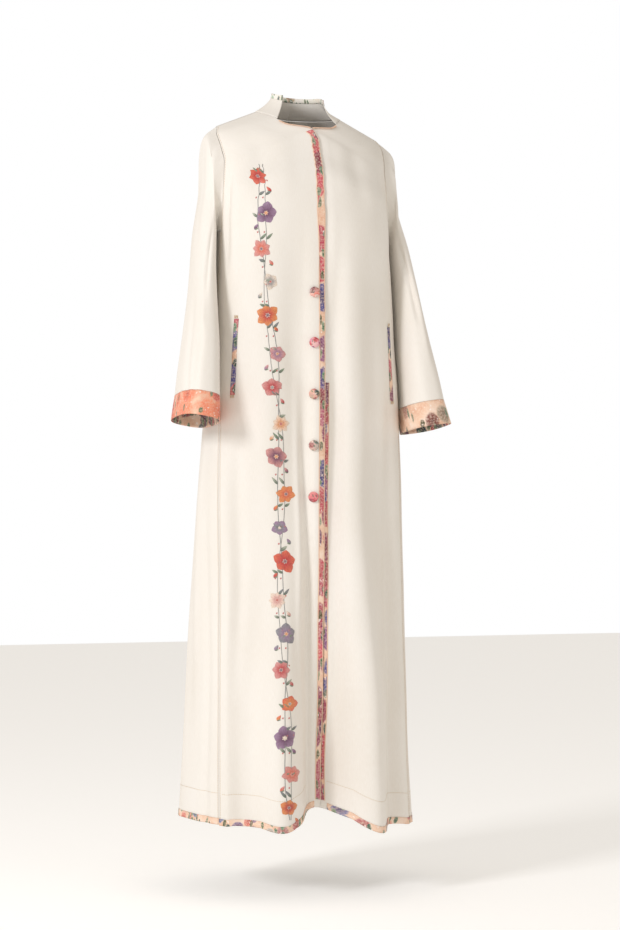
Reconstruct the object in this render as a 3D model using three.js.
// An open-front abaya, held at its neck and shoulders, as its cut and sewn cloth pieces.
// Millimetres, +Z up, the front faces -Y and the wearer's right is -X.
// The origin is the middle of the neck opening at shoulder height.
import * as THREE from "three";

// Cloth and seams
const WALL = 1.5; // thickness of the cloth wall
const GAP = 0.3; // space between pieces at a seam
const TRIM = 0.8; // thickness of a printed strip laid on the cloth
const LIFT = 0.8; // space under a strip that crosses the cloth's small facets
const LAP = 12; // how far the right front passes the centre line
const UNDER = 2.7; // how far the left front sinks under the right one

// Pose of the whole garment
const SLEEVE_GAP = 0.5; // space at the armhole, where the walls also turn
const LEAN = 0.055; // how much the left shoulder drops, per mm of width
const HEM_LIFT = 38; // rise of the hem at the centre front
const HEM_LIFT_HALF = { right: 38, left: 74 }; // how wide it is on each front

const HEM_DIP = 0.3; // how much lower the hem hangs, per mm of a ridge

// Trims
const HEM_BAND = 14;
const PLACKET = 14; // width of the strip at the neck
const PLACKET_LOW = 10.6; // and below the chest
const NECK_EDGE = 4.5;
const BUTTON = 21.5;
const BUTTON_HEIGHT = 7;
const BUTTON_FROM_CENTRE = 10;
const BUTTON_TOP_Z = -370;
const BUTTON_STEP = 104.5;
const BUTTONS = 5;

// How finely the cloth is divided
const FRONT_COLUMNS = 17;
const BACK_COLUMNS = 15;
const RING = 24;
const ARMHOLE_LEVEL = 6; // the row of LEVELS where the armhole ends

// Turns a table of columns and rows into a list of named values.
const table = (columns, rows) => {
  const names = columns.trim().split(/\s+/);
  return rows.map((row) => Object.fromEntries(names.map((name, i) => [name, row[i]])));
};

// Sections through the body, from the shoulder seam to the hem.
// The z columns give the row's height at centre front, centre back and side, the x columns
// where the neckline cuts it, the ends the y where each panel meets the armhole or side seam.
const LEVELS = table(
  "front_z back_z side_z front_x back_x half mid front back square front_end back_end cuts",
  [
    [4, 4, -33, 92, 92, 180, 18, 0.4, 0.4, 2.6, 17.85, 18.15, 2],
    [-11, 4, -56, 70, 74, 184, 17, 56, 42, 3.0, -8, 36, 2],
    [-27, 3, -85, 46, 42, 184, 16, 84, 64, 3.3, -31, 50, 2],
    [-34, 2, -116, 0, 0, 183, 16, 102, 78, 3.3, -44, 58, 2],
    [-76, -48, -152, 0, 0, 181, 14, 118, 90, 3.3, -46, 60, 2],
    [-132, -112, -197, 0, 0, 179, 10, 139, 98, 3.2, -42, 50, 2],
    [-215, -205, -252, 0, 0, 180, 6, 143, 102, 3.0, -34, -34, 2],
    [-345, -345, -345, 0, 0, 183, 4, 131, 108, 2.9, -28, -28, 2],
    [-450, -450, -450, 0, 0, 186, 5, 133, 120, 2.8, -34, -34, 2],
    [-555, -555, -555, 0, 0, 194, 6, 135, 134, 2.7, -50, -50, 2],
    [-655, -655, -655, 0, 0, 202, 8, 136, 148, 2.5, -60, -60, 2],
    [-770, -770, -770, 0, 0, 210, 9, 134, 162, 2.4, -62, -62, 3],
    [-1000, -1000, -1000, 0, 0, 219, 20, 153, 174, 2.3, -66, -66, 3],
    [-1250, -1250, -1250, 0, 0, 224, 36, 188, 182, 2.25, -68, -68, 4],
    [-1462, -1462, -1458, 0, 0, 237, 33, 187, 186, 2.2, -78, -78, 0],
  ],
);

// Folds, as soft ridges (depth out) and valleys (depth in) that start at one height and
// are full at another. Places are shares of the panel's row: 0 at the centre, 1 at the seam.
const FOLDS = table("panel side place_top place_low width depth start full", [
  ["front", -1, 0.0, 0.0, 66, -72, -760, -1440],
  ["front", 1, 0.0, 0.0, 66, -72, -760, -1440],
  ["front", -1, 0.3, 0.36, 58, 40, -640, -1430],
  ["front", -1, 0.2, 0.17, 34, -9, -160, -420],
  ["front", -1, 0.55, 0.68, 52, -18, -620, -1400],
  ["front", -1, 1.0, 1.0, 46, 6, -270, -430],
  ["front", 1, 0.26, 0.3, 40, 11, -130, -420],
  ["front", 1, 0.38, 0.42, 56, 40, -560, -1430],
  ["front", 1, 0.1, 0.12, 34, -9, -260, -420],
  ["front", 1, 0.7, 0.74, 44, -20, -560, -1300],
  ["front", 1, 1.0, 1.0, 46, 6, -270, -430],
  ["back", -1, 1.0, 1.0, 46, 6, -270, -430],
  ["back", 1, 1.0, 1.0, 46, 6, -270, -430],
  ["back", -1, 0.0, 0.0, 60, -24, -420, -1300],
  ["back", 1, 0.0, 0.0, 60, -24, -420, -1300],
  ["back", -1, 0.2, 0.22, 50, 22, -360, -1350],
  ["back", 1, 0.22, 0.25, 52, 24, -330, -1350],
  ["back", -1, 0.4, 0.42, 50, -20, -520, -1350],
  ["back", 1, 0.42, 0.44, 48, -20, -560, -1350],
  ["back", -1, 0.62, 0.6, 54, 17, -680, -1350],
  ["back", 1, 0.6, 0.62, 54, 18, -680, -1350],
]);

// Rings of a sleeve below the armhole: centre, half size across and fore and aft, and how
// far the ring's outer side and its front edge are raised, in degrees. A ring squarer than 2
// is flattened.
const SLEEVE = table("x y z across fore outer_up front_up square cuts", [
  [194.5, 12, -162, 97, 60, 85.2, 0, 2, 1],
  [195.7, 14, -218, 72, 66, 83.2, 1, 2, 2],
  [208.5, 0, -305, 49, 71, 69, 2, 2.1, 2],
  [218.5, -26, -405, 34, 75, 44, 3, 2.3, 1],
  [225.5, -40, -470, 33, 79, 23, 4, 2.5, 2],
  [235.5, -56, -550, 36.5, 82, 9, 6, 2.7, 1],
  [239.5, -63, -591, 38.5, 84, 9, 6, 2.8, 0],
]);
const CUFF_END = { x: 246.5, y: -76, z: -641, across: 42.5, fore: 86, outer_up: 9, front_up: 6, square: 2.8 };

// The stand collar: base and top rings round the back of the neck, open at the front.
const COLLAR = { top: { x: 54, mid: 26, front: 58, back: 46, z_front: 39, z: 47 } };

const clamp = (x, low, high) => Math.min(high, Math.max(low, x));
const mix = (a, b, k) => a + (b - a) * k;
const ease = (x, from, to) => {
  const k = clamp((x - from) / (to - from), 0, 1);
  return k * k * (3 - 2 * k);
};

// A smooth curve through a column of values that never overshoots them.
function smooth(values, at) {
  const last = values.length - 1;
  const i = clamp(Math.floor(at), 0, last - 1);
  const k = at - i;
  const step = (j) => (j < 0 || j >= last ? null : values[j + 1] - values[j]);
  const slope = (j) => {
    const a = step(j - 1);
    const b = step(j);
    if (a === null) return b;
    if (b === null) return a;
    return a * b <= 0 ? 0 : (2 * a * b) / (a + b);
  };
  const k2 = k * k;
  const k3 = k2 * k;
  return (
    (2 * k3 - 3 * k2 + 1) * values[i] +
    (k3 - 2 * k2 + k) * slope(i) +
    (3 * k2 - 2 * k3) * values[i + 1] +
    (k3 - k2) * slope(i + 1)
  );
}

const level = (down) => {
  const row = {};
  for (const name of Object.keys(LEVELS[0])) {
    row[name] = smooth(LEVELS.map((l) => l[name]), down);
  }
  return row;
};

// One row of a panel as a line in plan, with the distance along it from its start.
const rows = new Map();
function rowOf(panel, down) {
  const key = `${panel}${down.toFixed(5)}`;
  if (rows.has(key)) return rows.get(key);
  const l = level(down);
  const power = 2 / l.square;
  const arc = (t) => {
    const c = Math.cos(t);
    const depth = c > 0 ? -l.front : l.back;
    const s = Math.sin(t);
    return [
      Math.sign(s) * l.half * Math.abs(s) ** power,
      l.mid + depth * Math.abs(c) ** power,
    ];
  };
  const edge = clamp(panel === "front" ? l.front_x : l.back_x, 0, l.half);
  const end = panel === "front" || down >= ARMHOLE_LEVEL ? l.front_end : l.back_end;
  const ratio = end < l.mid ? (l.mid - end) / l.front : (end - l.mid) / l.back;
  const toEnd = Math.acos(clamp(ratio, 0, 1) ** (1 / power));
  const endTurn = end < l.mid ? toEnd : Math.PI - toEnd;
  const startTurn = Math.asin((edge / l.half) ** (1 / power));
  const from = panel === "front" ? startTurn : Math.PI - startTurn;
  const spare = panel === "front" ? -0.35 : 0.35;
  const points = [];
  const count = 120;
  for (let i = 0; i <= count; i += 1) {
    points.push(arc(mix(from + spare, endTurn - spare * 0.5, i / count)));
  }
  const along = [0];
  for (let i = 1; i <= count; i += 1) {
    const dx = points[i][0] - points[i - 1][0];
    const dy = points[i][1] - points[i - 1][1];
    along.push(along[i - 1] + Math.hypot(dx, dy));
  }
  const span = endTurn - spare * 0.5 - (from + spare);
  const distanceAt = (turn) => {
    const k = ((turn - from - spare) / span) * count;
    const i = clamp(Math.floor(k), 0, count - 1);
    return mix(along[i], along[i + 1], k - i);
  };
  const zero = distanceAt(from);
  const row = { points, along, zero, length: distanceAt(endTurn) - zero, l };
  rows.set(key, row);
  return row;
}

// How far the folds move the cloth out at a place on a panel.
function foldDepth(panel, side, share, length, z) {
  let out = 0;
  for (const fold of FOLDS) {
    if (fold.panel !== panel || fold.side !== side) continue;
    const grown = ease(-z, -fold.start, -fold.full);
    if (!grown) continue;
    const place = mix(fold.place_top, fold.place_low, ease(-z, -fold.start, 1450));
    const away = ((share - place) * length) / fold.width;
    const seamFade = place === 1 ? 1 : ease((1 - share) * length, 0, 45);
    const centreFade = place === 0 ? 1 : ease(share * length, 0, 35);
    out += fold.depth * grown * seamFade * centreFade * Math.exp(-away * away);
  }
  return out;
}

// The pose: a small sideways sway by height, and the left shoulder a little lower.
const SWAY = table("z shift", [
  [60, -2],
  [-60, -6],
  [-160, -6],
  [-340, -2],
  [-800, -2],
  [-1000, 0],
  [-1250, 3],
  [-1500, 4],
]);
function pose(p) {
  const i = clamp(SWAY.findIndex((row) => row.z < p.z) - 1, 0, SWAY.length - 2);
  const k = ease(p.z, SWAY[i].z, SWAY[i + 1].z);
  const sway = mix(SWAY[i].shift, SWAY[i + 1].shift, k);
  const lean = LEAN * mix(1, 0.55, ease(-p.z, 100, 560));
  p.z -= lean * p.x;
  p.x += sway;
  return p;
}

// A point of the cloth's outer face, at a distance along the row and a level down. A front
// that passes the centre line follows the other side's form there.
function clothPoint(panel, ownSide, ownDistance, down) {
  const { points, along, zero, length, l } = rowOf(panel, down);
  const side = ownDistance < 0 ? -ownSide : ownSide;
  const distance = Math.abs(ownDistance);
  const s = clamp(distance + zero, along[1], along[along.length - 2]);
  const i = clamp(along.findIndex((a) => a > s) - 1, 1, points.length - 3);
  const k = (s - along[i]) / (along[i + 1] - along[i]);
  const x = mix(points[i][0], points[i + 1][0], k);
  const y = mix(points[i][1], points[i + 1][1], k);
  const ahead = points[i + 2];
  const behind = points[i - 1];
  const run = Math.hypot(ahead[0] - behind[0], ahead[1] - behind[1]);
  const turn = panel === "front" ? 1 : -1;
  const outX = (turn * (ahead[1] - behind[1])) / run;
  const outY = (-turn * (ahead[0] - behind[0])) / run;
  const share = distance / length;
  const startZ = panel === "front" ? l.front_z : l.back_z;
  let z = mix(startZ, l.side_z, clamp(share, 0, 1.1));
  let out = foldDepth(panel, side, share, length, z);
  if (panel === "front") {
    const sunk = ownSide > 0 ? ease(down, 2.2, 3) : 0;
    out -= UNDER * sunk * (1 - ease(ownDistance, LAP + 1, LAP + 22));
    const half = side < 0 ? HEM_LIFT_HALF.right : HEM_LIFT_HALF.left;
    z += HEM_LIFT * Math.exp(-((x / half) ** 2)) * ease(-z, 1230, 1462);
    z -= HEM_DIP * Math.max(out, 0) * ease(-z, 1100, 1440);
  }
  return pose(new THREE.Vector3(side * (x + out * outX), y + out * outY, z));
}

// The outward direction of the cloth there.
function clothNormal(panel, side, distance, down) {
  const d = 2;
  const v = 0.04;
  const low = Math.max(down - v, 0);
  const share = distance / rowOf(panel, down).length;
  const on = (level_) => share * rowOf(panel, level_).length;
  const a = clothPoint(panel, side, distance + d, down);
  const b = clothPoint(panel, side, distance - d, down);
  const c = clothPoint(panel, side, on(Math.min(down + v, 14)), Math.min(down + v, 14));
  const e = clothPoint(panel, side, on(low), low);
  const n = a.sub(b).cross(c.sub(e)).normalize();
  const flip = (panel === "front" ? -1 : 1) * side;
  return n.multiplyScalar(flip);
}

// Makes one closed wall from a grid of outer points, their normals and a thickness.
function wall(name, outer, normals, faces, thickness, colour) {
  const n = outer.length;
  const xyz = [];
  outer.forEach((p) => xyz.push(p.x, p.y, p.z));
  outer.forEach((p, i) => {
    const t = thickness;
    xyz.push(p.x - normals[i].x * t, p.y - normals[i].y * t, p.z - normals[i].z * t);
  });
  const index = [];
  const open = new Map();
  for (const [a, b, c, d] of faces) {
    index.push(a, b, c, a, c, d);
    index.push(a + n, c + n, b + n, a + n, d + n, c + n);
    for (const [p, q] of [[a, b], [b, c], [c, d], [d, a]]) {
      if (open.has(`${q}_${p}`)) open.delete(`${q}_${p}`);
      else open.set(`${p}_${q}`, [p, q]);
    }
  }
  for (const [p, q] of open.values()) index.push(q, p, p + n, q, p + n, q + n);
  return body(name, xyz, index, colour);
}

// A named mesh from points and triangles, turned to face outwards.
function body(name, xyz, index, colour) {
  let volume = 0;
  const v = (i) => new THREE.Vector3(xyz[3 * i], xyz[3 * i + 1], xyz[3 * i + 2]);
  for (let i = 0; i < index.length; i += 3) {
    volume += v(index[i]).dot(v(index[i + 1]).cross(v(index[i + 2])));
  }
  if (volume < 0) {
    for (let i = 0; i < index.length; i += 3) {
      [index[i + 1], index[i + 2]] = [index[i + 2], index[i + 1]];
    }
  }
  const geometry = new THREE.BufferGeometry();
  geometry.setAttribute("position", new THREE.Float32BufferAttribute(xyz, 3));
  geometry.setIndex(index);
  geometry.computeVertexNormals();
  const material = new THREE.MeshStandardMaterial({ color: colour, roughness: 0.8 });
  const mesh = new THREE.Mesh(geometry, material);
  mesh.name = name;
  return mesh;
}

// Faces of a plain grid of rows by columns, or of a tube when it closes on itself.
function gridFaces(rowCount, columnCount, closed = false) {
  const faces = [];
  const across = closed ? columnCount : columnCount - 1;
  for (let r = 0; r < rowCount - 1; r += 1) {
    for (let c = 0; c < across; c += 1) {
      const next = (c + 1) % columnCount;
      const top = r * columnCount;
      const low = top + columnCount;
      faces.push([top + c, top + next, low + next, low + c]);
    }
  }
  return faces;
}

const CLOTH = 0xede7dc;
const PRINT = 0xd98f86;
const BLUSH = 0xe8c2a8;

// The levels of a panel's rows, each stretch of LEVELS cut into its number of steps.
const downs = [];
LEVELS.forEach((l, i) => {
  for (let k = 0; k < l.cuts; k += 1) downs.push(i + k / l.cuts);
});
downs.push(LEVELS.length - 1);

const group = new THREE.Group();
const UP = new THREE.Vector3(0, 0, 1);
const seamInset = GAP / 2;
const grids = {}; // each panel's points, kept for what lies on it

// One point and normal of a panel's grid; the shoulder seam's cloth is level.
function gridPoint(panel, side, distance, down) {
  const at = Math.max(down, 0.004);
  const p = clothPoint(panel, side, distance, at);
  const n = down === 0 ? UP.clone() : clothNormal(panel, side, distance, at);
  return { p, n, distance };
}

// A front panel, from past the centre line to the armhole and side seam.
function frontPanel(name, side) {
  const grid = downs.map((down) => {
    const passes = ease(down, 3, 3.6);
    const reach = rowOf("front", down).length - seamInset;
    const edge = [-LAP * passes, mix(4, 0, passes), mix(8, LAP, passes)];
    const line = [];
    for (let c = 0; c <= FRONT_COLUMNS; c += 1) {
      const k = (c - 2) / (FRONT_COLUMNS - 2);
      const distance = c < 2 ? edge[c] : mix(edge[2], reach, k);
      line.push(gridPoint("front", side, distance, down));
    }
    return line;
  });
  grids[name] = grid;
  const all = grid.flat();
  const faces = gridFaces(downs.length, FRONT_COLUMNS + 1);
  group.add(wall(name, all.map((g) => g.p), all.map((g) => g.n), faces, WALL, CLOTH));
}

frontPanel("front_right", -1);
frontPanel("front_left", 1);

// The back is one piece: two half grids that share the centre back line below the neck.
function backPanel() {
  const neckRow = downs.indexOf(3);
  const columns = BACK_COLUMNS + 1;
  const all = [];
  const faces = [];
  const indexOf = (side, r, c) => {
    const shared = side < 0 && c === 0 && r >= neckRow;
    const start = side < 0 && !shared ? downs.length * columns : 0;
    return start + r * columns + c;
  };
  for (const side of [1, -1]) {
    const grid = downs.map((down) => {
      const reach = rowOf("back", down).length - seamInset;
      const line = [];
      for (let c = 0; c < columns; c += 1) {
        line.push(gridPoint("back", side, (reach * c) / BACK_COLUMNS, down));
      }
      return line;
    });
    grids[side < 0 ? "back_right" : "back_left"] = grid;
    all.push(...grid.flat());
    for (let r = 0; r < downs.length - 1; r += 1) {
      for (let c = 0; c < BACK_COLUMNS; c += 1) {
        const loop = [
          indexOf(side, r, c),
          indexOf(side, r, c + 1),
          indexOf(side, r + 1, c + 1),
          indexOf(side, r + 1, c),
        ];
        faces.push(side > 0 ? loop : loop.reverse());
      }
    }
  }
  // Points that no face uses are dropped.
  const used = [...new Set(faces.flat())];
  const renamed = new Map(used.map((old, i) => [old, i]));
  const kept = used.map((i) => all[i]);
  const keptFaces = faces.map((f) => f.map((i) => renamed.get(i)));
  group.add(wall("back", kept.map((g) => g.p), kept.map((g) => g.n), keptFaces, WALL, CLOTH));
}
backPanel();

// A point on a panel's own facets: a row of its grid, perhaps between two, and a distance
// from the row's start or end, or a share of the row.
function onGrid(grid, row, distance, measure = "start") {
  const r = clamp(Math.floor(row), 0, grid.length - 2);
  const across = (line) => {
    const end = line[line.length - 1].distance;
    const d = { start: distance, end: end - distance, share: distance * end }[measure];
    let i = line.findIndex((g) => g.distance > d) - 1;
    if (i < 0) i = d <= line[0].distance ? 0 : line.length - 2;
    const k = (d - line[i].distance) / (line[i + 1].distance - line[i].distance);
    return {
      p: line[i].p.clone().lerp(line[i + 1].p, k),
      n: line[i].n.clone().lerp(line[i + 1].n, k),
    };
  };
  const a = across(grid[r]);
  const b = across(grid[r + 1]);
  const k = row - r;
  return { p: a.p.lerp(b.p, k), n: a.n.lerp(b.n, k).normalize() };
}

// A strip of trim from a table of points with normals, moved out from the cloth.
function strip(name, lines, colour, lift = GAP) {
  const all = lines.flat();
  const outer = all.map((g) => g.p.clone().addScaledVector(g.n, lift + TRIM));
  const faces = gridFaces(lines.length, lines[0].length);
  group.add(wall(name, outer, all.map((g) => g.n), faces, TRIM, colour));
}

const bottom = downs.length - 1;
const rowAtDown = (down) => {
  const i = clamp(downs.findIndex((d) => d > down) - 1, 0, bottom - 1);
  return i + (down - downs[i]) / (downs[i + 1] - downs[i]);
};
const downAtZ = (z) => {
  let low = ARMHOLE_LEVEL;
  let high = LEVELS.length - 1;
  for (let i = 0; i < 40; i += 1) {
    const middle = (low + high) / 2;
    if (level(middle).side_z > z) low = middle;
    else high = middle;
  }
  return low;
};
const lastStep = (level(downs[bottom - 1]).side_z - level(downs[bottom]).side_z);
const hemTop = bottom - HEM_BAND / lastStep;

// Printed strips down both fronts, from under the neck edge to the hem bands.
const stripRows = [3.12, ...downs.filter((d) => d > 3.2 && d < LEVELS.length - 1)].map(rowAtDown);
stripRows.push(hemTop - 0.01);
const STRIP_LEFT_TOP = 9;
const lapAt = (row) => {
  const r = Math.floor(row);
  return LAP * ease(mix(downs[r], downs[r + 1], row - r), 3, 3.6);
};
strip(
  "placket_right",
  stripRows.map((row) => {
    const from = 0.4 - lapAt(row);
    const width = mix(PLACKET, PLACKET_LOW, ease(row, rowAtDown(6), rowAtDown(7)));
    const middle = from < -6 ? Math.min(0, from + width - 1) : from + width / 2;
    const columns = [from, middle, from + width];
    return columns.map((d) => onGrid(grids.front_right, row, d));
  }),
  PRINT,
  LIFT,
);
strip(
  "placket_left",
  stripRows
    .filter((row) => row >= rowAtDown(STRIP_LEFT_TOP))
    .map((row) => [LAP + 2, LAP + 10].map((d) => onGrid(grids.front_left, row, d))),
  PRINT,
  LIFT,
);

// Printed bands round the hem.
function hemBand(name, grid, from) {
  const end = grid[bottom][grid[bottom].length - 1].distance;
  const columns = grid[bottom].map((g) => g.distance).filter((d) => d > from + 1);
  const shares = [from, ...columns].map((d) => d / end);
  const lines = [hemTop, bottom - 0.01].map((row) =>
    shares.map((share) => onGrid(grid, row, share, "share")),
  );
  strip(name, lines, PRINT, 0.4);
}
hemBand("hem_band_front_right", grids.front_right, PLACKET - LAP + 1);
hemBand("hem_band_front_left", grids.front_left, LAP + PLACKET + 1);
hemBand("hem_band_back_right", grids.back_right, 0.4);
hemBand("hem_band_back_left", grids.back_left, 0.4);

// Vertical pocket welts near the side seams.
const WELT = { top: -432, low: -586, from_seam: 52, width: 10, slant: -22 };
for (const side of [-1, 1]) {
  const grid = grids[side < 0 ? "front_right" : "front_left"];
  const steps = [0, 0.25, 0.5, 0.75, 1];
  const lines = steps.map((k) => {
    const row = rowAtDown(downAtZ(mix(WELT.top, WELT.low, k)));
    const near = WELT.from_seam + WELT.slant * k;
    return [near + WELT.width, near + WELT.width / 2, near].map((d) => onGrid(grid, row, d, "end"));
  });
  strip(side < 0 ? "pocket_welt_right" : "pocket_welt_left", lines, PRINT, LIFT);
}

// One point of a sleeve ring: turn 0 is its outer side, a quarter turn its front.
function ringPoint(ring, side, turn) {
  const outer = THREE.MathUtils.degToRad(ring.outer_up);
  const front = THREE.MathUtils.degToRad(ring.front_up);
  const bent = (v) => Math.sign(v) * Math.abs(v) ** (2 / ring.square);
  const across = ring.across * bent(Math.cos(turn));
  const fore = ring.fore * bent(Math.sin(turn));
  return pose(
    new THREE.Vector3(
      side * (ring.x + across * Math.cos(outer)),
      ring.y - fore * Math.cos(front),
      ring.z + across * Math.sin(outer) + fore * Math.sin(front),
    ),
  );
}

// The armhole edge of the body, round from the shoulder by the front to the underarm.
function armholeEdge(side, k) {
  const half = RING / 2;
  const turn = (k + RING) % RING;
  const panel = turn <= half ? "front" : "back";
  const down = (ARMHOLE_LEVEL * (turn <= half ? turn : RING - turn)) / half;
  const at = Math.max(down, 0.004);
  const length = rowOf(panel, at).length;
  const n = turn === 0 ? UP.clone() : clothNormal(panel, side, length, at);
  return { p: clothPoint(panel, side, length, at), n };
}

// The sleeve starts a seam's gap past that edge, in the cloth's own direction.
function armholePoint(side, k) {
  const { p, n } = armholeEdge(side, k);
  const tangent = armholeEdge(side, k + 1).p.sub(armholeEdge(side, k - 1).p);
  const onward = n.clone().cross(tangent).normalize().multiplyScalar(side);
  const fromTop = Math.min(k, RING - k);
  const gap = SLEEVE_GAP + 0.9 * (1 - ease(fromTop, 1, 3));
  return { p: p.addScaledVector(onward, gap), n };
}

// A sleeve: a smooth tube through the armhole edge and the rings of SLEEVE.
const sleeveLines = (side) => {
  const lines = [];
  for (let k = 0; k < RING; k += 1) {
    const turn = (2 * Math.PI * k) / RING;
    const start = armholePoint(side, k);
    const line = [start.p, ...SLEEVE.map((ring) => ringPoint(ring, side, turn))];
    const fromUnderarm = Math.abs(k - RING / 2);
    lines.push({ line, n: start.n, trust: ease(fromUnderarm, 1, 4) });
  }
  return lines;
};

const along = (line, at) => {
  const column = (axis) => line.map((p) => p[axis]);
  return new THREE.Vector3(
    smooth(column("x"), at),
    smooth(column("y"), at),
    smooth(column("z"), at),
  );
};

// Rings of points along a set of lines, closed into a tube's wall. The first ring's normals
// may be given, and the last ring's are returned for the next piece.
function tube(name, side, lines, stops, colour) {
  const points = [];
  const normals = [];
  const last = lines[0].line.length - 1;
  for (const at of stops) {
    const ring = lines.map(({ line }) => along(line, at));
    ring.forEach((p, k) => {
      const next = ring[(k + 1) % RING];
      const before = ring[(k + RING - 1) % RING];
      const { line, n: given, trust } = lines[k];
      const ahead = along(line, Math.min(at + 0.08, last));
      const down = ahead.sub(along(line, Math.max(at - 0.08, 0)));
      const n = next.clone().sub(before).cross(down).normalize().multiplyScalar(side);
      if (at === 0 && given) n.lerp(given, trust).normalize();
      points.push(p);
      normals.push(n);
    });
  }
  group.add(wall(name, points, normals, gridFaces(stops.length, RING, true), WALL, colour));
  return normals.slice(-RING);
}

for (const side of [-1, 1]) {
  const sideName = side < 0 ? "right" : "left";
  const stops = [0, 0.3, 0.65];
  SLEEVE.forEach((ring, i) => {
    for (let k = 0; k < ring.cuts; k += 1) stops.push(i + 1 + k / ring.cuts);
  });
  stops.push(SLEEVE.length);
  const ends = tube(`sleeve_${sideName}`, side, sleeveLines(side), stops, CLOTH);
  const cuffLines = ends.map((n, k) => {
    const turn = (2 * Math.PI * k) / RING;
    const top = ringPoint(SLEEVE[SLEEVE.length - 1], side, turn);
    const low = ringPoint(CUFF_END, side, turn);
    const onward = low.clone().sub(top).normalize();
    return { line: [top.addScaledVector(onward, GAP), low], n, trust: 1 };
  });
  tube(`cuff_${sideName}`, side, cuffLines, [0, 0.5, 1], PRINT);
}

// The neckline from the middle of one front to the centre back, as points of the body.
function neckEdge(side, down, panel) {
  const at = Math.max(down, 0.004);
  const n = down === 0 ? UP.clone() : clothNormal(panel, side, 0, at);
  return { p: clothPoint(panel, side, 0, at), n };
}

// The stand collar rises from the neckline and leans in to its top ring.
const COLLAR_STEPS = [1.3, 1, 0.75, 0.5, 0.25, 0, -0.5, -1, -1.5, -2, -2.4, -2.8, -3];
const collarBase = (side) =>
  COLLAR_STEPS.map((d) => neckEdge(side, Math.abs(d), d >= 0 ? "front" : "back").p);
const collarRow = (k) => {
  const line = [];
  for (const side of [-1, 1]) {
    const base = collarBase(side);
    const half = base.map((p, i) => {
      const turn = THREE.MathUtils.degToRad(mix(side < 0 ? -38 : -22, 90, i / (base.length - 1)));
      const depth = turn < 0 ? COLLAR.top.front : COLLAR.top.back;
      const top = pose(
        new THREE.Vector3(
          side * COLLAR.top.x * Math.cos(turn),
          COLLAR.top.mid + depth * Math.sin(turn),
          mix(COLLAR.top.z_front, COLLAR.top.z, ease(i / (base.length - 1), 0, 0.4)),
        ),
      );
      const lean = 1 - (1 - k) ** 1.7;
      return new THREE.Vector3(
        mix(p.x, top.x, lean),
        mix(p.y, top.y, lean),
        mix(p.z + 3 * GAP, top.z, k),
      );
    });
    line.push(...(side < 0 ? half : half.reverse().slice(1)));
  }
  return line;
};

// Normals of a plain grid of points, from its neighbours.
function withNormals(lines, flip) {
  return lines.map((line, r) =>
    line.map((p, c) => {
      const across = line[Math.min(c + 1, line.length - 1)]
        .clone()
        .sub(line[Math.max(c - 1, 0)]);
      const down = lines[Math.min(r + 1, lines.length - 1)][c]
        .clone()
        .sub(lines[Math.max(r - 1, 0)][c]);
      return { p, n: across.cross(down).normalize().multiplyScalar(flip) };
    }),
  );
}

const collarGrid = withNormals([0, 0.2, 0.45, 0.84, 1].map(collarRow), -1);
const collarPoints = collarGrid.flat();
group.add(
  wall(
    "collar",
    collarPoints.map((g) => g.p),
    collarPoints.map((g) => g.n),
    gridFaces(collarGrid.length, collarGrid[0].length),
    WALL,
    CLOTH,
  ),
);
strip("collar_binding", collarGrid.slice(3), PRINT);

// A narrow turned edge along each front's neckline, from the collar to the centre.
for (const side of [-1, 1]) {
  const steps = [1.5, 1.75, 2, 2.25, 2.5, 2.75, side < 0 ? 3 : 2.86];
  const edge = steps.map((down) => neckEdge(side, down, "front"));
  const lines = edge.map((g, i) => {
    const ahead = edge[Math.min(i + 1, edge.length - 1)].p;
    const behind = edge[Math.max(i - 1, 0)].p;
    const inward = ahead.clone().sub(behind).cross(g.n).normalize();
    if (inward.z > 0) inward.negate();
    return [0.3, NECK_EDGE].map((d) => ({ p: g.p.clone().addScaledVector(inward, d), n: g.n }));
  });
  strip(side < 0 ? "neck_edge_right" : "neck_edge_left", lines, BLUSH, 0.5);
}

// Covered, domed buttons down the right front beside its strip.
const BUTTON_PROFILE = table("radius height", [
  [0, 0.4],
  [0.28, 0.4],
  [0.28, 1.8],
  [0.86, 1.8],
  [1, 3.4],
  [0.9, 5.2],
  [0.62, 6.8],
  [0.3, 7.4],
]);
for (let i = 0; i < BUTTONS; i += 1) {
  const down = downAtZ(BUTTON_TOP_Z - i * BUTTON_STEP);
  const { p, n } = onGrid(grids.front_right, rowAtDown(down), BUTTON_FROM_CENTRE);
  const turn = new THREE.Quaternion().setFromUnitVectors(UP, n);
  const sides = 14;
  const xyz = [];
  const put = (x, y, z) => {
    const q = new THREE.Vector3(x, y, z).applyQuaternion(turn).add(p);
    xyz.push(q.x, q.y, q.z);
  };
  put(0, 0, BUTTON_PROFILE[0].height);
  for (const { radius, height } of BUTTON_PROFILE.slice(1)) {
    for (let k = 0; k < sides; k += 1) {
      const a = (2 * Math.PI * k) / sides;
      const r = (radius * BUTTON) / 2;
      put(r * Math.cos(a), r * Math.sin(a), height);
    }
  }
  put(0, 0, BUTTON_HEIGHT + 0.6);
  const index = [];
  const rings = BUTTON_PROFILE.length - 1;
  const top = 1 + rings * sides;
  for (let k = 0; k < sides; k += 1) {
    const next = (k + 1) % sides;
    index.push(0, 1 + next, 1 + k);
    for (let r = 0; r < rings - 1; r += 1) {
      const a = 1 + r * sides;
      const b = a + sides;
      index.push(a + k, a + next, b + next, a + k, b + next, b + k);
    }
    index.push(top, top - sides + k, top - sides + next);
  }
  group.add(body(`button_${i + 1}`, xyz, index, PRINT));
}

export default group;
